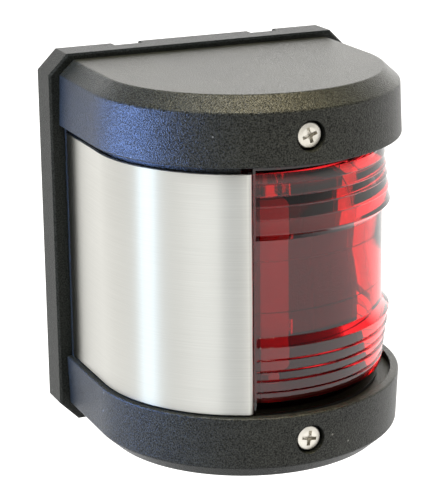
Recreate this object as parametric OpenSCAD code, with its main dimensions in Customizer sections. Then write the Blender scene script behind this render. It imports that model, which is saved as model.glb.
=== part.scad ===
// Bulkhead navigation light (port sidelight): a back plate with the lamp carrier and a festoon
// bulb, closed by a D-shaped front housing that holds the red lens and a steel side shield.
// X is right seen from the front, -Y is the front, +Z is up. The origin is the centre of the
// back face, which lies against the bulkhead.

/* [Back plate] */
// Width of the back plate
plate_w = 77; // [75:0.5:82]
// Height of the back plate
plate_h = 90; // [89:0.5:96]
// Depth of the back plate, wall to housing
plate_t = 8.8; // [8:0.1:12]
// Corner chamfer of the back plate
plate_chamfer = 4.6; // [3:0.1:6]
// Small bevel along its front and back edges
plate_edge = 0.5; // [0.3:0.1:0.8]
// Thickness of the back plate's wall behind the lamp
plate_wall = 3; // [2.5:0.1:4]
// Distance between the two mounting screws
mount_spacing = 48; // [46:0.5:52]
// Diameter of the mounting-screw holes
mount_hole_d = 4.5; // [4:0.1:5]

/* [Front housing] */
// Radius of the round front at the edge of the caps
cap_r = 36.5; // [36:0.1:37]
// Length of the straight sides behind the round front
side_len = 22.7; // [21:0.1:26]
// Height of the housing over both caps
housing_h = 87.2; // [86:0.1:88.6]
// Height of the window between the two caps
window_h = 56.7; // [56:0.1:57.2]
// How far a cap's side leans in from its edge to its bevel
cap_draft = 0.5; // [0:0.1:1]
// Width of the bevel round the end of a cap
bevel_w = 3.6; // [3:0.1:4.5]
// Height of that bevel
bevel_h = 3.3; // [3:0.1:4]
// Wall thickness of the caps
cap_wall = 2.2; // [2:0.1:2.5]
// Width of the rim that stands round each end of the window
rim_w = 1.9; // [1.5:0.1:2.1]
// Depth of the recess inside that rim
rim_depth = 1.7; // [1.4:0.1:1.8]

/* [Lens] */
// Outer radius of the lens at its smooth belt
belt_r = 32.3; // [32:0.1:32.5]
// Inner radius of the lens
lens_inner_r = 29.8; // [29.5:0.1:30]
// Outer radius of the two main ridges beside the belt
ridge_r = 34.1; // [33.6:0.1:34.3]
// How far the window runs back past the round front on the lit side
window_back = 0.8; // [0.5:0.1:2.5]

/* [Steel shield] */
// Outer radius of the shield
shield_r = 35.2; // [35:0.1:35.3]
// Sheet thickness of the shield
sheet_t = 0.8; // [0.6:0.1:0.9]
// Top edge of the shield above the middle
shield_top = 26.8; // [26:0.1:27.5]
// Bottom edge of the shield below the middle
shield_bottom = 28; // [27:0.1:28.2]

/* [Screws] */
// Height of the cover screws above and below the middle
screw_z = 34.6; // [34.4:0.1:35]
// Turn of the cross in the top and the bottom screw, in degrees
cross_turn = [17, -10];

/* [Bulb] */
// Length of the festoon bulb
bulb_len = 36; // [35:0.5:37]
// Diameter of its glass
bulb_d = 10.4; // [10:0.1:11]
// How far the bulb stands ahead of the axis of the round front
bulb_lead = 11.5; // [11:0.1:12]

/* [Hidden] */
$fn = 96;
cut = 0.5;          // how far a cutting shape runs past the face it opens
part_gap = 0.1;     // gap between the cover and the back plate

// Places along Y
plate_front = -plate_t;
house_back = plate_front - part_gap;
axis_y = plate_front - side_len;        // axis of the round front and the lens
bulb_y = axis_y - bulb_lead;            // the window's back edge lies 22.5 degrees behind its beam
floor_y = -plate_wall;                  // inner face of the back plate's wall

// Heights
half_h = housing_h / 2;
window_z = window_h / 2;
deck_z = window_z + rim_depth;          // inner face of the deck that closes the lamp chamber
deck_t = 1.2;
cavity_z = deck_z + deck_t;

// Walls of the housing round the window
wall_out = shield_r - sheet_t - 0.5;    // the tape fills the last half millimetre
wall_in = wall_out - cap_wall;
frame_t = 1;                            // thin frame at the very back of the housing

// Angles round the lens axis, measured from straight ahead towards the lit side
bend_phi = -22.8;                       // where the shield folds in
wall_phi = -24.6;                       // where the black wall ends behind the fold
lens_phi = -20.3;                       // first edge of the lens
tongue_phi = [-30, -17];                // inner tongue behind that edge
tongue_r = [lens_inner_r - 1.9, lens_inner_r - 0.6];

// Cover screws, M3
screw_r = 1.45;
screw_pitch = 0.5;
head_r = 2.85;
head_t = 2.2;
washer_t = 0.6;
counterbore_r = 3.4;
seat_y = axis_y - cap_r + 3.9;          // floor of the counterbore
boss_r = 4.5;
boss_back = seat_y + 3.8;
post_front = boss_back + 0.6;
post_r = 3;
insert_r = 2.1;
insert_len = 5.5;
insert_bore_r = screw_r + 0.05;
screw_tip = post_front + 7.5;

// Lamp carrier and contacts
carrier_back = floor_y - 3;
carrier_t = 2.5;
carrier_front = carrier_back - carrier_t;
carrier_w = 26;
carrier_h = 50;
arm_w = 9.6;
arm_taper = 3.5;                        // how far its front corners are cut back
arm_z = 21.8;                           // inner face of the two arms
arm_t = 3;
arm_front = bulb_y - 4.5;
taper_y = bulb_y + 6;                   // where the arms start to narrow
rib_x = 4;
rib_t = 1.5;
strip_t = 0.5;                          // contact strip thickness
strip_w = 6;
tip_z = bulb_len / 2;
bulb_cap_r = 3.6;
bulb_cap_len = 5.4;
clip_gap_r = bulb_cap_r + 0.1;
terminal_z = 11;
carrier_screw_x = 9.5;
m3_head_r = 2.8;

// Cable entry
cable_x = 20;
cable_z = -22;
cable_r = 2.6;

// ---- Outline helpers ----

function unit(v) = v / norm(v);

// Points that round corner b between a and c with radius r
function fillet(a, b, c, r, n = 4) =
    r <= 0 ? [b] :
    let (u = unit(a - b), v = unit(c - b), half = acos(u * v) / 2)
    let (start = b + u * r / tan(half), stop = b + v * r / tan(half))
    let (centre = b + unit(u + v) * r / sin(half))
    [for (i = [0:n]) let (p = start + (stop - start) * i / n) centre + unit(p - centre) * r];

// Outline through [x, y, corner radius] entries
function rounded(list) =
    let (count = len(list), xy = [for (p = list) [p[0], p[1]]])
    [for (i = [0:count - 1]) each fillet(xy[(i + count - 1) % count], xy[i], xy[(i + 1) % count], list[i][2])];

// Extrudes an XZ outline from front (lower Y) to back
module along_y(front, back) {
    translate([0, back, 0]) rotate([90, 0, 0]) linear_extrude(back - front) children();
}

// Turns an outline of radius and height about axis_y, from angle phi0 to phi1. It starts at
// the end that meets a straight side, so that the two share one exact plane.
module round_front(phi0, phi1) {
    from_end = phi1 == 90;
    start = from_end ? phi1 : phi0;
    turn = from_end ? phi0 - phi1 : phi1 - phi0;
    translate([0, axis_y, 0]) rotate([0, 0, start - 90]) rotate_extrude(angle = turn) children();
}

// Sweeps that outline round the front and straight back along both sides
module d_sweep(back) {
    round_front(-90, 90) children();
    along_y(axis_y, back) {
        children();
        mirror([1, 0]) children();
    }
}

module at_both_ends() {
    children();
    mirror([0, 0, 1]) children();
}

// A ring's cross section: radius from r0 to r1, height from z0 to z1
module band(r0, r1, z0, z1) {
    translate([r0, z0]) square([r1 - r0, z1 - z0]);
}

module rounded_rect(w, h, r) {
    polygon(rounded([[-w / 2, -h / 2, r], [w / 2, -h / 2, r], [w / 2, h / 2, r], [-w / 2, h / 2, r]]));
}

function plate_points(inset) =
    let (w = plate_w / 2 - inset, h = plate_h / 2 - inset, c = plate_chamfer - inset * 0.586)
    [[w, h - c], [w - c, h], [c - w, h], [-w, h - c], [-w, c - h], [c - w, -h], [w - c, -h], [w, c - h]];

module plate_outline(inset) {
    polygon(plate_points(inset));
}

// Bars that break the edges of the plate's front and back faces
module plate_edges() {
    points = plate_points(0);
    for (y = [plate_front, 0], i = [0:7]) {
        side = points[(i + 1) % 8] - points[i];
        translate([points[i][0], y, points[i][1]]) rotate([0, -atan2(side[1], side[0]), 0]) rotate([45, 0, 0])
            translate([norm(side) / 2, 0, 0])
                cube([norm(side) + plate_edge, plate_edge * sqrt(2), plate_edge * sqrt(2)], center = true);
    }
}

// A cylinder along Y between two places
module rod_y(r, front, back, x = 0, z = 0) {
    translate([x, back, z]) rotate([90, 0, 0]) cylinder(r = r, h = back - front);
}

// ---- Back plate and what is fixed to it ----

gasket_inset = [1.8, 4.1];
gasket_depth = 1.2;
seal_inset = [1.4, 2.2];                // from the outline of the caps
seal_depth = 1;
seal_gap = 0.05;
notch_x = [-16.5, 18.7];
notch_w = 7;
notch_depth = 0.7;
notch_run = 3;
pocket_w = 66;
pocket_h = 79;
pad_r = 5;
pad_t = 1.5;
grommet_flange_r = 6;
grommet_neck_r = 4.4;

// A ring that follows the back edge of the housing
module seal_ring(gap) {
    difference() {
        housing_outline(seal_inset[0] - gap);
        housing_outline(seal_inset[1] + gap);
    }
}

module base_plate() {
    color("#2b2d2a") difference() {
        union() {
            difference() {
                along_y(plate_front, 0) plate_outline(0);
                along_y(plate_front - cut, floor_y) rounded_rect(pocket_w, pocket_h, 3);
            }
            at_both_ends() rod_y(post_r, post_front, floor_y, 0, screw_z);
            for (side = [-1, 1]) {
                rod_y(3.5, carrier_back, floor_y, side * carrier_screw_x);
                rod_y(pad_r, floor_y - pad_t, floor_y, side * mount_spacing / 2);
            }
        }
        along_y(-gasket_depth, cut) difference() {
            plate_outline(gasket_inset[0]);
            plate_outline(gasket_inset[1]);
        }
        plate_edges();
        along_y(plate_front - cut, plate_front + seal_depth) seal_ring(seal_gap);
        for (x = notch_x) translate([x - notch_w / 2, -notch_run, plate_h / 2 - notch_depth])
            cube([notch_w, notch_run + cut, notch_depth + cut]);
        for (side = [-1, 1]) {
            rod_y(mount_hole_d / 2, floor_y - pad_t - cut, cut, side * mount_spacing / 2);
            rod_y(1.55, carrier_back - cut, -0.9, side * carrier_screw_x);
        }
        rod_y(grommet_neck_r + 0.1, floor_y - cut, cut, cable_x, cable_z);
        rod_y(grommet_flange_r + 0.2, -1.2, cut, cable_x, cable_z);
        at_both_ends() {
            rod_y(insert_r, post_front - cut, post_front + insert_len, 0, screw_z);
            rod_y(screw_r + 0.2, post_front, screw_tip + 1, 0, screw_z);
        }
    }
}

module rear_gasket() {
    inset = 0.1;
    color("#3a3a38") along_y(-gasket_depth, -0.05) difference() {
        plate_outline(gasket_inset[0] + inset);
        plate_outline(gasket_inset[1] - inset);
    }
}

module housing_seal() {
    color("#45463f") along_y(plate_front, plate_front + seal_depth) seal_ring(0);
}

module cable_grommet() {
    color("#242424") difference() {
        union() {
            rod_y(grommet_flange_r, -1.2, -0.1, cable_x, cable_z);
            rod_y(grommet_neck_r, floor_y, -1.2, cable_x, cable_z);
            rod_y(grommet_flange_r, floor_y - 1.2, floor_y, cable_x, cable_z);
        }
        rod_y(cable_r, floor_y - 1.2 - cut, cut, cable_x, cable_z);
    }
}

module threaded_inserts() {
    color("#b08d3e") at_both_ends() difference() {
        rod_y(insert_r, post_front, post_front + insert_len, 0, screw_z);
        rod_y(insert_bore_r, post_front - cut, post_front + insert_len + cut, 0, screw_z);
    }
}

// Half of one arm's outline seen from above, from the carrier's plate to its front corner
arm_side = [[arm_w / 2, carrier_front], [arm_w / 2, taper_y], [arm_w / 2 - arm_taper, arm_front]];

// Back plate of the carrier with two arms that reach forward past the bulb
module lamp_carrier() {
    color("#e8e2d2") difference() {
        union() {
            along_y(carrier_front, carrier_back) rounded_rect(carrier_w, carrier_h, 4);
            at_both_ends() {
                translate([0, 0, arm_z]) linear_extrude(arm_t)
                    polygon(concat(arm_side, [for (i = [2:-1:0]) [-arm_side[i][0], arm_side[i][1]]]));
                rod_y(3, carrier_back, carrier_back + 2, 0, terminal_z);
                for (side = [-1, 1]) translate([side * rib_x - rib_t / 2, taper_y, arm_z - 3])
                    cube([rib_t, carrier_front - taper_y, 4]);
            }
        }
        for (side = [-1, 1]) rod_y(1.6, carrier_front - cut, carrier_back + cut, side * carrier_screw_x);
        at_both_ends() {
            rod_y(1.55, carrier_front - cut, carrier_back + 1.5, 0, terminal_z);
            for (y = rivet_y) translate([0, y, arm_z - cut]) cylinder(r = rivet_r + 0.05, h = arm_t + 2 * cut);
        }
    }
}

// The cross in a screw head, cut down to height z above the seat
module cross_recess(turn, z) {
    for (arm = [0, 90]) rotate(turn + arm) translate([-1.75, -0.4, z]) cube([3.5, 0.8, 3]);
    translate([0, 0, z - 0.2]) cylinder(r = 0.75, h = 3);
}

module slot_recess(turn, z) {
    rotate(turn) translate([-4, -0.35, z]) cube([8, 0.7, 3]);
}

// A pan-head screw along Y with its head seated at seat and its point at tip; children() cut its head
module pan_screw(seat, tip, x, z, r, head_radius, head_height) {
    head = [[0, 0, 0], [head_radius, 0, 0.2], [head_radius, head_height * 0.87, 0.3],
        [head_radius * 0.6, head_height * 0.98, 1.5], [0, head_height, 0]];
    translate([x, seat, z]) rotate([90, 0, 0]) difference() {
        union() {
            rotate_extrude() polygon(rounded(head));
            translate([0, 0, seat - tip]) cylinder(r = r, h = tip - seat);
        }
        children();
    }
}

module carrier_screws() {
    color("#c9c6bd") for (side = [-1, 1])
        pan_screw(carrier_front, -1, side * carrier_screw_x, 0, 1.5, m3_head_r, 2) cross_recess(side * 35, 0.9);
}

// ---- Contacts ----

rivet_y = [-14, -21];
rivet_r = 1.2;
clip_back = bulb_y + 4.3;
clip_front = bulb_y - 3;
clip_flare = [25, 1.8];                 // angle and length of the flared lips
clip_z = [tip_z - bulb_cap_len - 0.2, tip_z - 1.8];

// Spring strip under an arm: a terminal tail at the back and an open U clip at the front
module contact() {
    difference() {
        union() {
            translate([-strip_w / 2, clip_back, arm_z - strip_t])
                cube([strip_w, carrier_front - clip_back, strip_t]);
            translate([-strip_w / 2, carrier_front - strip_t, terminal_z - 4])
                cube([strip_w, strip_t, arm_z - terminal_z + 4]);
            translate([-clip_gap_r - strip_t, clip_back, clip_z[0]])
                cube([2 * (clip_gap_r + strip_t), strip_t, clip_z[1] - clip_z[0]]);
            translate([-strip_w / 2, clip_back, clip_z[0]]) cube([strip_w, strip_t, arm_z - clip_z[0]]);
            for (side = [0, 1]) mirror([side, 0, 0]) {
                translate([clip_gap_r, clip_front, clip_z[0]])
                    cube([strip_t, clip_back - clip_front + strip_t, clip_z[1] - clip_z[0]]);
                translate([clip_gap_r, clip_front, clip_z[0]]) rotate([0, 0, clip_flare[0]])
                    translate([0, -clip_flare[1], 0])
                        cube([strip_t, clip_flare[1] + 0.2, clip_z[1] - clip_z[0]]);
            }
        }
        rod_y(1.7, carrier_front - strip_t - cut, carrier_front + cut, 0, terminal_z);
        for (y = rivet_y) translate([0, y, arm_z - strip_t - cut]) cylinder(r = rivet_r + 0.05, h = strip_t + 2 * cut);
    }
}

module upper_contact() {
    color("#c8a24a") contact();
}

module lower_contact() {
    color("#c8a24a") mirror([0, 0, 1]) contact();
}

module contact_rivets() {
    color("#b9b4a6") at_both_ends() for (y = rivet_y) translate([0, y, arm_z - strip_t]) {
        translate([0, 0, -0.7]) cylinder(r = 1.9, h = 0.7);
        cylinder(r = rivet_r, h = strip_t + arm_t);
        translate([0, 0, strip_t + arm_t]) cylinder(r = 1.8, h = 0.6);
    }
}

module terminal_clamps() {
    color("#b9b4a6") at_both_ends() difference() {
        along_y(carrier_front - strip_t - 1, carrier_front - strip_t)
            translate([0, terminal_z]) rounded_rect(7, 6.4, 0.8);
        rod_y(1.7, carrier_front - strip_t - 1 - cut, carrier_front, 0, terminal_z);
    }
}

module terminal_screws() {
    seat = carrier_front - strip_t - 1;
    color("#c9c6bd") for (side = [-1, 1])
        pan_screw(seat, carrier_back + 1, 0, side * terminal_z, 1.5, m3_head_r, 2) slot_recess(40 + side * 25, 1.1);
}

// ---- Cover: housing, lens, shield ----

function cap_outline(inset, z0) =
    let (r = cap_r - inset, top = half_h - inset, shoulder = half_h - bevel_h - inset * 0.4)
    let (edge = inset > 0 ? 0 : 0.8)
    [[0, z0, 0], [r, z0, edge / 2], [r - cap_draft, shoulder, edge],
        [r - cap_draft - bevel_w + inset * 0.6, top, edge], [0, top, 0]];

// Outline of the whole housing seen from behind, one quarter after the other
module housing_outline(inset) {
    quarter = cap_outline(inset, 0);
    polygon([for (s = [[1, 1], [-1, 1], [-1, -1], [1, -1]])
        for (i = s[0] * s[1] > 0 ? [1, 2, 3] : [3, 2]) [quarter[i][0] * s[0], quarter[i][1] * s[1]]]);
}

module cap_shell() {
    difference() {
        d_sweep(house_back) polygon(rounded(cap_outline(0, window_z)));
        d_sweep(house_back + cut) polygon(rounded(cap_outline(cap_wall, cavity_z)));
        d_sweep(house_back + cut) band(0, cap_r - rim_w, window_z - cut, deck_z);
    }
    rod_y(boss_r, seat_y - 2.5, boss_back, 0, screw_z);
}

module left_wall() {
    round_front(-90, wall_phi) band(wall_in, wall_out, -deck_z, deck_z);
    round_front(tongue_phi[0], wall_phi) band(tongue_r[0], wall_out, -deck_z, deck_z);
    round_front(tongue_phi[0], tongue_phi[1]) band(tongue_r[0], tongue_r[1], -deck_z, deck_z);
    along_y(axis_y, house_back) band(-wall_out, -wall_in, -deck_z, deck_z);
}

jamb_y = axis_y + window_back + 0.3;

module right_wall() {
    along_y(jamb_y, house_back) band(wall_in, wall_out, -deck_z, deck_z);
    along_y(jamb_y, jamb_y + 3.5) band(lens_inner_r, wall_out, -deck_z, deck_z);
}

module rear_frame() {
    along_y(house_back - frame_t, house_back) for (side = [0, 1]) mirror([side, 0])
        band(wall_in, shield_r, -deck_z, deck_z);
}

module front_housing() {
    color("#34372f") difference() {
        union() {
            at_both_ends() cap_shell();
            left_wall();
            right_wall();
            rear_frame();
        }
        at_both_ends() {
            rod_y(counterbore_r, axis_y - cap_r - 1, seat_y, 0, screw_z);
            rod_y(screw_r + 0.3, seat_y - cut, boss_back + cut, 0, screw_z);
        }
    }
}

lens_z = deck_z - 0.8;                  // the seals take up the rest

// Prism rings above the belt: [height of the ring's inner edge, radius there, radius at its outer edge]
rings = [[12.9, ridge_r, 33.3], [16, 33.8, 32.9], [18.8, 33.4, 32.6], [21.1, 33.1, 32.4], [23.8, 32.8, 32.3]];
ring_end = 26.3;
ring_step = 0.15;                       // height of the step from one ring out to the next
belt_z = 11.1;                          // the ridge steps out at 45 degrees from here
foot_r = 31.4;                          // the lens is thinner at both ends, below the rims

// Outer points of the upper half, from the middle upwards; each ring leans in and steps out again
function ring_points() =
    [for (i = [0:len(rings) - 1]) let (top = i < len(rings) - 1 ? rings[i + 1][0] : ring_end)
        each [[rings[i][1], rings[i][0], 0.3], [rings[i][2], top - ring_step, 0]]];

function half_outer() = concat(
    [[belt_r, belt_z, 0.3]], ring_points(), [[foot_r, ring_end + 0.3, 0], [foot_r, lens_z, 0]]);

function flip(list) = [for (i = [len(list) - 1:-1:0]) [list[i][0], -list[i][1], list[i][2]]];

// Inner face: a thicker belt in front of the filament, 0.5 mm proud
half_inner = [[lens_inner_r - 0.5, 5.7, 0.2], [lens_inner_r, 6, 0.2], [lens_inner_r, lens_z, 0]];

module lens_section() {
    polygon(rounded(concat(flip(half_outer()), half_outer(), flip(flip_z(half_inner)), flip_z(half_inner))));
}

function flip_z(list) = [for (p = list) [p[0], -p[1], p[2]]];

module lens() {
    color("#c4161c", 0.6) {
        round_front(lens_phi, 90) lens_section();
        along_y(axis_y, axis_y + window_back) lens_section();
        round_front(lens_phi, lens_phi + 0.9) band(lens_inner_r, ridge_r - 0.4, -window_z + 0.3, window_z - 0.1);
    }
}

module lens_seals() {
    color("#242424") at_both_ends() {
        round_front(lens_phi, 90) band(lens_inner_r, foot_r - 0.1, lens_z, deck_z);
        along_y(axis_y, axis_y + window_back) band(lens_inner_r, foot_r - 0.1, lens_z, deck_z);
    }
}

// Point in plan at a radius and an angle from straight ahead
function plan(r, phi) = [r * sin(phi), axis_y - r * cos(phi)];

lip_end = plan(32.7, -20.9);

module steel_shield() {
    bend = plan(shield_r, bend_phi);
    across = unit([bend[1] - lip_end[1], lip_end[0] - bend[0]]) * sheet_t;
    bend_inner = plan(shield_r - sheet_t, bend_phi - 1.1);
    color("#d8d6cc") {
        round_front(-90, bend_phi) band(shield_r - sheet_t, shield_r, -shield_bottom, shield_top);
        along_y(axis_y, house_back - frame_t - 0.2)
            band(-shield_r, sheet_t - shield_r, -shield_bottom, shield_top);
        translate([0, 0, -shield_bottom]) linear_extrude(shield_top + shield_bottom)
            polygon([bend, lip_end, lip_end + across, bend_inner]);
    }
}

module shield_tape() {
    color("#5a5a58") {
        round_front(-90, bend_phi - 4) band(wall_out, shield_r - sheet_t, -24, 23);
        along_y(axis_y, house_back - frame_t - 2) band(sheet_t - shield_r, -wall_out, -24, 23);
    }
}

screen_x = -2.3;                        // free edge of the screen
screen_h = 38.2;

// Dark screen inside the lens, on the tongue's edge, that cuts the light off at straight ahead
module cutoff_screen() {
    width = 20;
    color("#85797f") intersection() {
        round_front(tongue_phi[1], 0) band(tongue_r[0], tongue_r[0] + 0.9, -screen_h / 2, screen_h / 2);
        along_y(axis_y - lens_inner_r, axis_y) translate([screen_x - width / 2, 0])
            rounded_rect(width, screen_h, 1.5);
    }
}

// ---- Cover screws ----

module washer() {
    difference() {
        rod_y(3.2, seat_y - washer_t, seat_y, 0, screw_z);
        rod_y(screw_r + 0.05, seat_y - washer_t - cut, seat_y + cut, 0, screw_z);
    }
}

module cover_screw(z, turn) {
    pan_screw(seat_y - washer_t, screw_tip, 0, z, screw_r, head_r, head_t) cross_recess(turn, 0.9);
}

module top_washer() {
    color("#1d1d1c") washer();
}

module bottom_washer() {
    color("#1d1d1c") mirror([0, 0, 1]) washer();
}

module top_screw() {
    color("#d9d3c4") cover_screw(screw_z, cross_turn[0]);
}

module bottom_screw() {
    color("#d9d3c4") cover_screw(-screw_z, cross_turn[1]);
}

// ---- Bulb ----

glass_z = tip_z - bulb_cap_len - 1.2;   // where the glass starts to narrow
neck_r = 3.1;

function glass_side(r_body, r_neck) =
    [[r_neck, -tip_z + 5, 0], [r_neck, -glass_z - 0.8, 0.8], [r_body, -glass_z + 1.6, 1.6],
        [r_body, glass_z - 1.6, 1.6], [r_neck, glass_z + 0.8, 0.8], [r_neck, tip_z - 5, 0]];

module bulb_glass() {
    wall = 0.5;
    outer = rounded(concat(glass_side(bulb_d / 2, neck_r), [[0, tip_z - 5, 0], [0, 5 - tip_z, 0]]));
    inner = rounded(concat(glass_side(bulb_d / 2 - wall, neck_r - wall), [[0, tip_z - 5, 0], [0, 5 - tip_z, 0]]));
    color("#f4f4f2", 0.4) translate([0, bulb_y, 0]) difference() {
        rotate_extrude() polygon(outer);
        rotate_extrude() polygon(inner);
    }
}

module bulb_caps() {
    base_z = tip_z - bulb_cap_len;
    outline = [[neck_r + 0.05, base_z, 0], [bulb_cap_r, base_z, 0], [bulb_cap_r, tip_z - 1.8, 0.3],
        [1.2, tip_z, 0.3], [0, tip_z, 0], [0, tip_z - 3.2, 0], [neck_r + 0.05, tip_z - 3.2, 0]];
    color("#c9c8c4") translate([0, bulb_y, 0]) at_both_ends() rotate_extrude() polygon(rounded(outline));
}

module bulb_filament() {
    color("#8a8a86") translate([0, bulb_y, 0]) {
        cylinder(r = 0.45, h = 12, center = true);
        at_both_ends() translate([0, 0, 6]) cylinder(r = 0.25, h = tip_z - 3.3 - 6);
    }
}

base_plate();
rear_gasket();
housing_seal();
cable_grommet();
threaded_inserts();
lamp_carrier();
carrier_screws();
upper_contact();
lower_contact();
contact_rivets();
terminal_clamps();
terminal_screws();
front_housing();
lens();
lens_seals();
steel_shield();
shield_tape();
cutoff_screen();
top_washer();
top_screw();
bottom_washer();
bottom_screw();
bulb_glass();
bulb_caps();
bulb_filament();
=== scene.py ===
"""Bulkhead navigation light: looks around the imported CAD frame.

Lengths are in metres unless a name or a heading says mm."""

import math

import bmesh
import bpy
from mathutils import Matrix, Vector


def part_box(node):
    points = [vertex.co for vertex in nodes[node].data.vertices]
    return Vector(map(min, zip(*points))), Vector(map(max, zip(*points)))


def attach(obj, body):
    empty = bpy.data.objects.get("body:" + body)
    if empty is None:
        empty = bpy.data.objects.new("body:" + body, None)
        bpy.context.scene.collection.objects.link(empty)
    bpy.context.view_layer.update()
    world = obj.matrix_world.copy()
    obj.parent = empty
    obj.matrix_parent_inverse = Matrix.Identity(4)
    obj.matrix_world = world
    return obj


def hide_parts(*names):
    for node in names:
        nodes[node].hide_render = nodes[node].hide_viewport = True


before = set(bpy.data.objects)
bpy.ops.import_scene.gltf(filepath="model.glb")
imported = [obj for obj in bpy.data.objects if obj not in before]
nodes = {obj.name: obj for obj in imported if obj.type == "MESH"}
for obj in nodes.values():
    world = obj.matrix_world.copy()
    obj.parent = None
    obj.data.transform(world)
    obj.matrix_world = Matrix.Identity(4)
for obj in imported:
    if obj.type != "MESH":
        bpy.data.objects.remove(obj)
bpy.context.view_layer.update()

MM = 0.001

# Places that the frame gives
plate_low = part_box("base_plate")[0]
housing_low, housing_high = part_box("front_housing")
lens_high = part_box("lens")[1]
shield_low, shield_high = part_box("steel_shield")
axis_y = housing_low.y + housing_high.x     # axis of the round front


# ---------------------------------------------------------------- camera, floor and light

CAMERA_TARGET = Vector((-6.5, -30.0, 0.3)) * MM
CAMERA_DISTANCE = 0.460
CAMERA_AZIMUTH = -23.2
CAMERA_ELEVATION = 16.6
CAMERA_ROLL = -0.7
CAMERA_LENS = 142.8


def make_camera():
    azimuth, elevation, roll = (math.radians(a) for a in (CAMERA_AZIMUTH, CAMERA_ELEVATION, CAMERA_ROLL))
    back = Vector((
        math.sin(azimuth) * math.cos(elevation),
        -math.cos(azimuth) * math.cos(elevation),
        math.sin(elevation),
    ))
    level = Vector((math.cos(azimuth), math.sin(azimuth), 0))
    upright = back.cross(level)
    right = level * math.cos(roll) + upright * math.sin(roll)
    up = back.cross(right)
    data = bpy.data.cameras.new("camera")
    data.lens = CAMERA_LENS
    data.clip_start = 0.01
    data.clip_end = 50
    camera = bpy.data.objects.new("camera", data)
    camera.matrix_world = Matrix.Translation(CAMERA_TARGET + back * CAMERA_DISTANCE) @ Matrix(
        (right, up, back)
    ).transposed().to_4x4()
    bpy.context.collection.objects.link(camera)
    bpy.context.scene.camera = camera


FLOOR_DROP = 0.30
FLOOR_SIZE = 12.0
FLOOR_GLOW = 1.25
FLOOR_PAINTED_SHADOW = 0.15                  # share of that glow left right below the object: a painted shadow on the floor
FLOOR_SHADE_REACH = (0.12, 0.42)    # the glow grows back between these distances
FLAG_AZIMUTH = -30
FLAG_DISTANCE = 1.0
FLAG_Z = 0.15
FLAG_SIZE = (0.3, 1.2)
WORLD_STRENGTH = 2.8
WORLD_BRIGHT_SIDE = (0.50, 0.86, 0.0)


def stage_card(name, corners, material):
    """A flat four-cornered card that belongs to the studio and not to the object."""
    mesh = bpy.data.meshes.new(name)
    mesh.from_pydata(corners, [], [(0, 1, 2, 3)])
    mesh.materials.append(material)
    card = bpy.data.objects.new(name, mesh)
    bpy.context.collection.objects.link(card)


def make_floor():
    half = FLOOR_SIZE / 2
    z = plate_low.z - FLOOR_DROP
    corners = [(-half, -half, z), (half, -half, z), (half, half, z), (-half, half, z)]
    stage_card("floor", corners, floor_material())


def make_flag():
    """A tall black card behind the camera, which keeps the shield's folded edge from glaring."""
    azimuth = math.radians(FLAG_AZIMUTH)
    middle = Vector((math.sin(azimuth), -math.cos(azimuth), 0)) * FLAG_DISTANCE + Vector((0, 0, FLAG_Z))
    across = Vector((math.cos(azimuth), math.sin(azimuth), 0)) * FLAG_SIZE[0] / 2
    rise = Vector((0, 0, FLAG_SIZE[1] / 2))
    low, high = middle - rise, middle + rise
    cloth = soft_rubber("flag_cloth", rgb(0.02, 0.02, 0.02), rgb(0.03, 0.03, 0.03))
    stage_card("flag", [low - across, low + across, high + across, high - across], cloth)


def area_light(name, azimuth, elevation, distance, size, power, colour, only=()):
    """A soft box that faces the round front's axis from azimuth (0 is the front) and elevation.

    With only, it lights those pieces and no others."""
    a, e = math.radians(azimuth), math.radians(elevation)
    towards = Vector((math.sin(a) * math.cos(e), -math.cos(a) * math.cos(e), math.sin(e)))
    data = bpy.data.lights.new(name, "AREA")
    data.shape = "RECTANGLE"
    data.size, data.size_y = size
    data.energy = power
    data.color = colour
    lamp = bpy.data.objects.new(name, data)
    lamp.location = Vector((0, axis_y, 0)) + towards * distance
    lamp.rotation_euler = towards.to_track_quat("Z", "Y").to_euler()
    bpy.context.collection.objects.link(lamp)
    if only:
        lamp.light_linking.receiver_collection = bpy.data.collections.new(name + "_receivers")
        for piece in only:
            lamp.light_linking.receiver_collection.objects.link(piece)


def make_lights():
    housing = [nodes["front_housing"]]
    area_light("window_left", -98, 10, 1.1, (0.30, 1.2), 2.5, (0.60, 0.80, 1.0))
    area_light("sky_left", -101, 2, 0.16, (0.09, 0.05), 0.62, (0.20, 0.38, 1.0), housing)
    area_light("soft_top", 12, 76, 1.2, (0.7, 0.5), 24, (1.0, 0.86, 0.50), housing)
    area_light("top_fill", -60, 68, 1.2, (0.7, 0.5), 13, (0.92, 0.96, 1.0))
    area_light("strip_front", -6, 46, 1.2, (0.34, 0.10), 2.0, (1.0, 0.95, 0.85))


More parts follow.
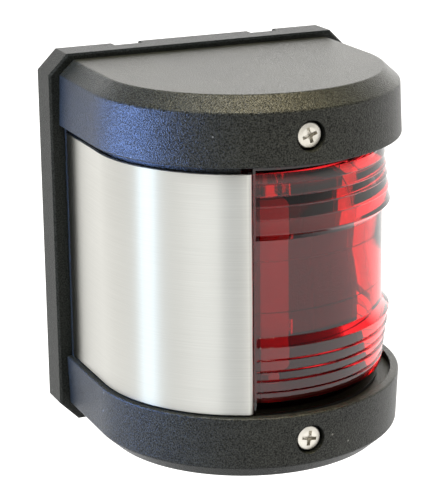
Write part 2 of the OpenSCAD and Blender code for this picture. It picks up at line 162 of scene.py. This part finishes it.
def make_world():
    """A white sweep below and behind, and a darker room in front and overhead."""
    world = bpy.data.worlds.new("studio")
    bpy.context.scene.world = world
    world.use_nodes = True
    tree = world.node_tree
    tree.nodes.clear()

    def add(kind):
        return tree.nodes.new("ShaderNode" + kind)

    def ramp(value, *stops):
        node = add("ValToRGB")
        tree.links.new(value, node.inputs[0])
        elements = node.color_ramp.elements
        elements[0].position, elements[0].color = stops[0][0], (*stops[0][1], 1)
        elements[1].position, elements[1].color = stops[-1][0], (*stops[-1][1], 1)
        for place, colour in stops[1:-1]:
            elements.new(place).color = (*colour, 1)
        return node.outputs[0]

    out, light, split, place, mix, facing = (
        add(kind) for kind in ("OutputWorld", "Background", "SeparateXYZ", "TexCoord", "Mix", "VectorMath"))
    tree.links.new(place.outputs["Generated"], split.inputs[0])
    front = ramp(split.outputs["Z"], (0.0, (0.48, 0.47, 0.45)), (0.16, (0.16, 0.16, 0.155)),
                 (0.45, (0.035, 0.035, 0.04)))
    back = ramp(split.outputs["Z"], (0.40, (1.0, 0.99, 0.97)), (0.70, (0.07, 0.07, 0.08)))
    mix.data_type = "RGBA"
    facing.operation = "DOT_PRODUCT"
    facing.inputs[1].default_value = WORLD_BRIGHT_SIDE
    tree.links.new(place.outputs["Generated"], facing.inputs[0])
    behind = ramp(facing.outputs["Value"], (0.55, (0, 0, 0)), (0.80, (1, 1, 1)))
    tree.links.new(behind, mix.inputs["Factor"])
    tree.links.new(front, mix.inputs[6])
    tree.links.new(back, mix.inputs[7])
    tree.links.new(mix.outputs[2], light.inputs["Color"])
    tree.links.new(light.outputs[0], out.inputs["Surface"])
    light.inputs["Strength"].default_value = WORLD_STRENGTH


# ---------------------------------------------------------------- material helpers


class Nodes:
    """A short way to write a node tree."""

    def __init__(self, name):
        self.material = bpy.data.materials.new(name)
        self.material.use_nodes = True
        self.tree = self.material.node_tree
        self.tree.nodes.clear()
        self.out = self.tree.nodes.new("ShaderNodeOutputMaterial")

    def add(self, kind, settings=None, **inputs):
        node = self.tree.nodes.new("ShaderNode" + kind)
        for key, value in (settings or {}).items():
            setattr(node, key, value)
        for key, value in inputs.items():
            self.put(node.inputs[key.replace("_", " ")], value)
        return node

    def put(self, socket, value):
        if isinstance(value, bpy.types.NodeSocket):
            self.tree.links.new(value, socket)
        else:
            socket.default_value = value

    def shader(self, **inputs):
        """The Principled shader, wired to the output."""
        node = self.add("BsdfPrincipled")
        for key, value in inputs.items():
            self.put(node.inputs[key.replace("_", " ")], value)
        self.tree.links.new(node.outputs[0], self.out.inputs["Surface"])
        return node

    def place(self):
        return self.add("TexCoord").outputs["Object"]

    def stretched(self, scale, vector=None):
        return self.add("Mapping", Vector=vector or self.place(), Scale=scale).outputs[0]

    def noise(self, scale, detail, vector=None):
        return self.add("TexNoise", Vector=vector or self.place(), Scale=scale, Detail=detail).outputs["Fac"]

    def cells(self, scale):
        return self.add("TexVoronoi", Vector=self.place(), Scale=scale).outputs["Distance"]

    def remap(self, value, low, high, to_low, to_high):
        node = self.add("MapRange", Value=value)
        for key, number in (("From Min", low), ("From Max", high), ("To Min", to_low), ("To Max", to_high)):
            node.inputs[key].default_value = number
        return node.outputs[0]

    def math(self, operation, a, b=0.0):
        node = self.add("Math", {"operation": operation})
        self.put(node.inputs[0], a)
        self.put(node.inputs[1], b)
        return node.outputs[0]

    def blend(self, factor, a, b):
        node = self.add("Mix", {"data_type": "RGBA"})
        self.put(node.inputs["Factor"], factor)
        self.put(node.inputs[6], a)
        self.put(node.inputs[7], b)
        return node.outputs[2]

    def worn_edge(self, radius_mm):
        """The surface's normal with its sharp edges rounded."""
        return self.add("Bevel", {"samples": 4}, Radius=radius_mm * MM).outputs[0]

    def bump(self, height, distance, strength=1.0, under=None):
        node = self.add("Bump", Height=height, Distance=distance, Strength=strength)
        if under is not None:
            self.put(node.inputs["Normal"], under)
        return node.outputs[0]


def rgb(r, g, b):
    return (r, g, b, 1.0)


def floor_material():
    m = Nodes("floor_glow_painted_shadow")
    reach = m.add("VectorMath", {"operation": "LENGTH"}, Vector=m.stretched((1, 1, 0)))
    # the glow is dimmed right below the object and grows back further out: a painted shadow on the floor
    m.shader(Base_Color=rgb(0.30, 0.30, 0.30), Roughness=0.9, Emission_Color=rgb(1.0, 0.99, 0.97),
             Emission_Strength=m.remap(reach.outputs["Value"], *FLOOR_SHADE_REACH, FLOOR_GLOW * FLOOR_PAINTED_SHADOW,
                                       FLOOR_GLOW))
    return m.material


def grained_plastic(name, colour, pale, grain_mm=0.32, depth=0.15, rough=(0.30, 0.44)):
    """Spark-eroded black moulding: a fine pebble grain, cloudy colour and a few specks of dust."""
    m = Nodes(name)
    cloud = m.noise(70, 3)
    pebbles = m.cells(1 / (grain_mm * MM))
    fine = m.noise(1 / (grain_mm * MM), 1)
    height = m.math("ADD", m.math("MULTIPLY", pebbles, 0.2), m.math("MULTIPLY", fine, 1.0))
    dust = m.remap(m.cells(150), 0.030, 0.045, 1, 0)
    tone = m.math("ADD", m.math("MULTIPLY", fine, 0.75), m.math("MULTIPLY", cloud, 0.25))
    clean = m.blend(m.remap(tone, 0.3, 0.7, 0, 1), colour, pale)
    m.shader(
        Base_Color=m.blend(m.math("MULTIPLY", dust, 0.3), clean, rgb(0.5, 0.5, 0.48)),
        Roughness=m.remap(fine, 0.3, 0.7, *rough),
        Specular_IOR_Level=m.remap(fine, 0.35, 0.65, 0.13, 0.37),
        Normal=m.bump(height, depth * MM, under=m.worn_edge(0.3)),
    )
    return m.material


def brushed_steel():
    """Horizontal brushing: fine scratches along U, with anisotropic gloss along them."""
    m = Nodes("brushed_steel_fine")
    uv = m.add("UVMap", {"uv_map": "brush"}).outputs[0]
    hair = m.noise(1.0, 2, vector=m.stretched((90, 14000, 1), uv))
    long = m.noise(1.0, 3, vector=m.stretched((25, 4500, 1), uv))
    wide = m.noise(40, 3)
    tone = m.math("ADD", m.math("MULTIPLY", hair, 0.6), m.math("MULTIPLY", long, 0.4))
    m.shader(
        Base_Color=m.blend(m.remap(tone, 0.3, 0.7, 0, 1), rgb(0.60, 0.598, 0.562), rgb(0.70, 0.697, 0.660)),
        Metallic=1.0,
        Roughness=m.remap(m.math("ADD", tone, m.math("MULTIPLY", wide, 0.3)), 0.4, 0.9, 0.36, 0.42),
        Anisotropic=0.95,
        Anisotropic_Rotation=0.25,
        Tangent=m.add("Tangent", {"direction_type": "UV_MAP", "uv_map": "brush"}).outputs[0],
        Normal=m.bump(tone, 0.002 * MM, 0.5),
    )
    return m.material


def clear_plastic(name, colour, shadow_colour, rough=0.03, ior=1.585, bump_mm=0.004, painted_shade_from_mm=None):
    """Clear moulding. Lamps shine through it, tinted, so that what is inside is lit.

    Given a height in mm, both its ends are painted near-black from that height on: painted shade where they
    sit in the housing's recess."""
    m = Nodes(name)
    ripple = m.noise(120, 2)
    # painted shade: the lens's ends turn near-black past the given height, where they sit in the housing's
    # recess
    if painted_shade_from_mm:
        height = m.math("ABSOLUTE", m.add("SeparateXYZ", Vector=m.place()).outputs["Z"])
        ends = m.remap(height, painted_shade_from_mm * MM, (painted_shade_from_mm + 0.2) * MM, 0, 1)
        colour = m.blend(ends, colour, rgb(0.01, 0.002, 0.002))
        shadow_colour = m.blend(ends, shadow_colour, rgb(0.01, 0.002, 0.002))
    glass = m.add(
        "BsdfPrincipled",
        Base_Color=colour,
        Roughness=rough,
        IOR=ior,
        Transmission_Weight=1.0,
        Normal=m.bump(ripple, bump_mm * MM, 0.5),
    )
    through = m.add("BsdfTransparent", Color=shadow_colour)
    lamp_ray = m.add("LightPath").outputs["Is Shadow Ray"]
    mix = m.add("MixShader")
    m.put(mix.inputs[0], lamp_ray)
    m.put(mix.inputs[1], glass.outputs[0])
    m.put(mix.inputs[2], through.outputs[0])
    m.tree.links.new(mix.outputs[0], m.out.inputs["Surface"])
    return m.material


def metal(name, dark, light, rough, scale=260):
    """Machined or rolled metal with fine marks and a slightly uneven polish."""
    m = Nodes(name)
    marks = m.noise(scale * 8, 3)
    cloud = m.noise(scale, 3)
    m.shader(
        Base_Color=m.blend(m.remap(cloud, 0.3, 0.7, 0, 1), dark, light),
        Metallic=1.0,
        Roughness=m.remap(m.math("ADD", m.math("MULTIPLY", marks, 0.5), m.math("MULTIPLY", cloud, 0.5)),
                          0.3, 0.7, *rough),
        Normal=m.bump(marks, 0.003 * MM, 0.6),
    )
    return m.material


def soft_rubber(name, colour, pale, grain_mm=0.5, rough=(0.62, 0.8)):
    m = Nodes(name)
    grain = m.noise(1 / (grain_mm * MM), 3)
    bloom = m.noise(160, 3)
    m.shader(
        Base_Color=m.blend(m.remap(bloom, 0.35, 0.7, 0, 1), colour, pale),
        Roughness=m.remap(grain, 0.3, 0.7, *rough),
        Specular_IOR_Level=0.35,
        Normal=m.bump(grain, 0.02 * MM, 0.6),
    )
    return m.material


def pale_moulding():
    """Ivory thermoplastic: faint flow marks and a satin skin."""
    m = Nodes("pale_moulding")
    flow = m.noise(60, 3, vector=m.stretched((1, 1, 3)))
    skin = m.noise(2200, 2)
    m.shader(
        Base_Color=m.blend(m.remap(flow, 0.3, 0.7, 0, 1), rgb(0.80, 0.75, 0.64), rgb(0.88, 0.84, 0.75)),
        Roughness=m.remap(skin, 0.3, 0.7, 0.38, 0.5),
        Subsurface_Weight=0.08,
        Subsurface_Scale=0.002,
        Normal=m.bump(skin, 0.006 * MM, 0.5),
    )
    return m.material


# ---------------------------------------------------------------- mesh helpers


def fillet(a, b, c, radius, steps):
    """Points that round corner b between a and c."""
    u, v = (a - b).normalized(), (c - b).normalized()
    half = u.angle(v) / 2
    start, stop = b + u * radius / math.tan(half), b + v * radius / math.tan(half)
    centre = b + (u + v).normalized() * radius / math.sin(half)
    return [centre + (start.lerp(stop, i / steps) - centre).normalized() * radius for i in range(steps + 1)]


def rounded(corners, steps):
    """A closed outline through (x, y, corner radius) entries."""
    points = [Vector(c[:2]) for c in corners]
    result = []
    for i, corner in enumerate(corners):
        result += fillet(points[i - 1], points[i], points[(i + 1) % len(points)], corner[2], steps)
    return result


def build(name, vertices, faces, body, material, replaces, sharp, uvs=None):
    """A piece with welded points, outward faces and edges sharp above an angle in degrees."""
    mesh = bpy.data.meshes.new(name)
    mesh.from_pydata([tuple(v) for v in vertices], [], faces)
    if uvs is not None:
        layer = mesh.uv_layers.new(name="brush")
        for loop in mesh.loops:
            layer.data[loop.index].uv = uvs[loop.vertex_index]
    bm = bmesh.new()
    bm.from_mesh(mesh)
    bmesh.ops.remove_doubles(bm, verts=bm.verts, dist=1e-7)
    bmesh.ops.recalc_face_normals(bm, faces=bm.faces)
    for face in bm.faces:
        face.smooth = True
    for edge in bm.edges:
        edge.smooth = edge.is_manifold and edge.calc_face_angle(0) < math.radians(sharp)
    bm.to_mesh(mesh)
    bm.free()
    piece = bpy.data.objects.new(name, mesh)
    bpy.context.collection.objects.link(piece)
    mesh.materials.append(material)
    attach(piece, body)
    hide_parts(replaces)
    return piece


def grid_faces(rows, columns):
    """Faces between rows of points, each row a closed ring."""
    faces = []
    for i in range(rows - 1):
        for j in range(columns):
            low, high = i * columns, (i + 1) * columns
            along = (j + 1) % columns
            faces.append([low + j, low + along, high + along, high + j])
    return faces


def in_plan(radius, phi):
    """A point at a radius and an angle in degrees from straight ahead, about the axis of the round front."""
    a = math.radians(phi)
    return Vector((radius * math.sin(a), axis_y - radius * math.cos(a)))


# ---------------------------------------------------------------- lens

# Section in mm, mirrored about z = 0. A ring has the height and radius of its foot and the radius of its head
LENS_BELT_R = 32.3
LENS_INNER_R = 29.8
LENS_RIDGE_R = 34.1
LENS_FIRST_PHI = -20.3      # angle of the front end in plan, from straight ahead
LENS_BEAD = 0.9             # angle that the bead there takes up
LENS_BEAD_R = 33.7
LENS_BELT_Z = 11.1
LENS_RINGS = ((12.9, LENS_RIDGE_R, 33.3), (16.0, 33.8, 32.9), (18.8, 33.4, 32.6), (21.1, 33.1, 32.4),
              (23.8, 32.8, 32.3))
LENS_RING_END = 26.3
LENS_RING_STEP = 0.15
LENS_FOOT_R = 31.4
LENS_STEP_Z, LENS_STEP = 6.0, 0.25      # the belt is this much thicker inside, up to this height
LENS_BEAD_TAPER = (24.4, 29.0)          # the bead at the front end narrows between these depths
LENS_END_GAP = 0.35         # the moulding is bedded in the housing there
LENS_BED = 0.12             # and this deep in its seals at the top and the bottom


def lens_half(top):
    """The outer points of the upper half and the inner points back down, in mm."""
    outer = [(LENS_BELT_R, LENS_BELT_Z, 0.3)]
    for i, (height, foot, head) in enumerate(LENS_RINGS):
        end = LENS_RINGS[i + 1][0] if i + 1 < len(LENS_RINGS) else LENS_RING_END
        outer += [(foot, height, 0.3), (head, end - LENS_RING_STEP, 0.06)]
    outer += [(LENS_FOOT_R, LENS_RING_END + 0.3, 0.1), (LENS_FOOT_R, top, 0.15)]
    inner = [(LENS_INNER_R, top, 0.1), (LENS_INNER_R, LENS_STEP_Z, 0.1),
             (LENS_INNER_R - LENS_STEP, LENS_STEP_Z - 0.1, 0.1)]
    return outer, inner


def lens_outline():
    top = lens_high.z / MM + LENS_BED
    outer, inner = lens_half(top)

    def flip(points):
        return [(r, -h, c) for r, h, c in reversed(points)]

    corners = flip(outer) + outer + inner + flip(inner)
    return rounded(corners, 3)


def make_lens(material):
    """The section swept from its bead round the front and straight back to the housing."""
    outline = lens_outline()
    round_steps, straight_steps = 110, 10
    first = LENS_FIRST_PHI + LENS_BEAD
    back = lens_high.y + LENS_END_GAP * MM - axis_y
    stations = [(first + (90 - first) * i / round_steps, 0.0) for i in range(round_steps + 1)]
    stations += [(90.0, back * i / straight_steps) for i in range(1, straight_steps + 1)]
    vertices = []
    middle_r = (LENS_BELT_R + LENS_INNER_R) / 2

    def point(r, h, phi, y):
        spot = in_plan(r * MM, phi)
        return Vector((spot.x, spot.y + y, h * MM))

    def bead_end(h):
        """The bead narrows in a curve towards its lower end."""
        begin, end = LENS_BEAD_TAPER
        drop = max(0.0, (-h - begin) / (end - begin))
        return LENS_FIRST_PHI + LENS_BEAD * math.sqrt(max(0.0, 1 - drop ** 2)) + 0.02

    for phi_of in (lambda h: LENS_FIRST_PHI, bead_end):
        for r, h in outline:
            vertices.append(point(LENS_BEAD_R if r > middle_r else r, h, phi_of(h), 0.0))
    for r, h in outline:
        vertices.append(point(r, h, bead_end(h) + 0.05, 0.0))
    for phi, y in stations:
        for r, h in outline:
            vertices.append(point(r, h, phi + 0.1, y) if phi < 90 else point(r, h, 90, y))
    columns = len(outline)
    rows = len(vertices) // columns
    faces = grid_faces(rows, columns)
    faces.append(list(range(columns)))
    faces.append([(rows - 1) * columns + j for j in range(columns)])
    return build("lens_moulding", vertices, faces, "cover", material, "lens", sharp=28)


# ---------------------------------------------------------------- steel shield

# Lengths in mm, angles in plan from straight ahead
SHIELD_T = 0.8
SHIELD_ROUND_END_PHI = -22.6
SHIELD_FOLD_PHI = -21.3
SHIELD_FOLD_R = 0.605
SHIELD_LIP_R = 33.0
SHIELD_ROWS = 24


def shield_centreline():
    """Middle of the sheet in plan, back to front, then round the fold to the lip."""
    radius = -shield_low.x - SHIELD_T * MM / 2
    arc_steps = 90
    back_y = shield_high.y
    line = [Vector((-radius, back_y + (axis_y - back_y) * i / 8)) for i in range(8)]
    for i in range(arc_steps + 1):
        line.append(in_plan(radius, -90 + (SHIELD_ROUND_END_PHI + 90) * i / arc_steps))
    corner = in_plan(radius, SHIELD_FOLD_PHI)
    lip = in_plan(SHIELD_LIP_R * MM, SHIELD_FOLD_PHI)
    line += fillet(line[-1], corner, lip, SHIELD_FOLD_R * MM, 6)
    line.append(lip)
    return line


def make_shield(material):
    """The sheet, with a UV map in metres for the brushing."""
    line = shield_centreline()
    half = SHIELD_T * MM / 2
    normals, lengths = [], [0.0]
    for i, p in enumerate(line):
        ahead = line[min(i + 1, len(line) - 1)] - line[max(i - 1, 0)]
        normals.append(Vector((-ahead.y, ahead.x)).normalized())
        if i:
            lengths.append(lengths[-1] + (p - line[i - 1]).length)
    outer = [(p - n * half, s) for p, n, s in zip(line, normals, lengths)]
    inner = [(p + n * half, s) for p, n, s in zip(line, normals, lengths)]
    ring = outer + inner[::-1]
    low, high = shield_low.z, shield_high.z
    vertices, uvs = [], []
    for k in range(SHIELD_ROWS + 1):
        z = low + (high - low) * k / SHIELD_ROWS
        for p, s in ring:
            vertices.append((p.x, p.y, z))
            uvs.append((s, z))
    columns = len(ring)
    faces = grid_faces(SHIELD_ROWS + 1, columns)
    count = len(line)
    for row in (0, SHIELD_ROWS):
        base = row * columns
        for j in range(count - 1):
            faces.append([base + j, base + j + 1, base + columns - 2 - j, base + columns - 1 - j])
    piece = build("shield_sheet", vertices, faces, "cover", material, "steel_shield",
                  sharp=40, uvs=uvs)
    bevel = piece.modifiers.new("edge", "BEVEL")
    bevel.width = 0.12 * MM
    bevel.segments = 2
    bevel.limit_method = "ANGLE"
    bevel.angle_limit = math.radians(60)
    return piece


# ---------------------------------------------------------------- finishes on the CAD nodes


def finish_nodes():
    """Gives every CAD node its finish and returns the lens's."""
    housing = grained_plastic("housing_grain", rgb(0.001, 0.001, 0.001), rgb(0.026, 0.028, 0.023))
    plate = grained_plastic("plate_grain", rgb(0.003, 0.004, 0.003), rgb(0.008, 0.010, 0.007), 0.34, 0.16,
                            (0.40, 0.52))
    rubber = soft_rubber("black_rubber", rgb(0.018, 0.018, 0.018), rgb(0.035, 0.035, 0.034))
    foam = soft_rubber("foam_cells", rgb(0.03, 0.03, 0.03), rgb(0.06, 0.06, 0.06), 0.25, (0.8, 0.95))
    steel = metal("screw_steel_polish", rgb(0.60, 0.57, 0.50), rgb(0.80, 0.77, 0.70), (0.34, 0.46))
    plated = metal("nickel_plate", rgb(0.58, 0.57, 0.54), rgb(0.75, 0.74, 0.70), (0.18, 0.3))
    brass = metal("spring_brass", rgb(0.62, 0.44, 0.17), rgb(0.82, 0.62, 0.28), (0.2, 0.36), 180)
    wire = metal("tungsten_wire", rgb(0.25, 0.25, 0.26), rgb(0.42, 0.42, 0.43), (0.3, 0.45))
    ivory = pale_moulding()
    screen = soft_rubber("screen_grey", rgb(0.26, 0.22, 0.25), rgb(0.32, 0.27, 0.31), 0.3, (0.3, 0.4))
    # the lens's ends past its last ring carry painted shade
    red = clear_plastic("lens_red_painted_shade_ends", rgb(0.80, 0.020, 0.026), rgb(0.75, 0.03, 0.035),
                        painted_shade_from_mm=LENS_RING_END)
    clear = clear_plastic("bulb_clear", rgb(0.98, 0.98, 0.97), rgb(0.95, 0.95, 0.95), 0.0, 1.5, 0.001)
    finishes = {
        "base_plate": plate, "front_housing": housing, "rear_gasket": foam, "shield_tape": foam,
        "housing_seal": rubber, "cable_grommet": rubber, "top_washer": rubber, "bottom_washer": rubber,
        "lens_seals": rubber, "threaded_inserts": brass, "upper_contact": brass, "lower_contact": brass,
        "carrier_screws": steel, "terminal_screws": steel, "top_screw": steel, "bottom_screw": steel,
        "contact_rivets": plated, "terminal_clamps": plated, "bulb_caps": plated, "bulb_filament": wire,
        "lamp_carrier": ivory, "cutoff_screen": screen, "bulb_glass": clear, "lens": red,
        "steel_shield": steel,
    }
    for node, material in finishes.items():
        nodes[node].data.materials.clear()
        nodes[node].data.materials.append(material)
    return red


make_camera()
make_floor()
make_flag()
make_lights()
make_world()
bpy.context.scene.view_settings.view_transform = "Standard"
make_lens(finish_nodes())
make_shield(brushed_steel())

bpy.context.view_layer.update()
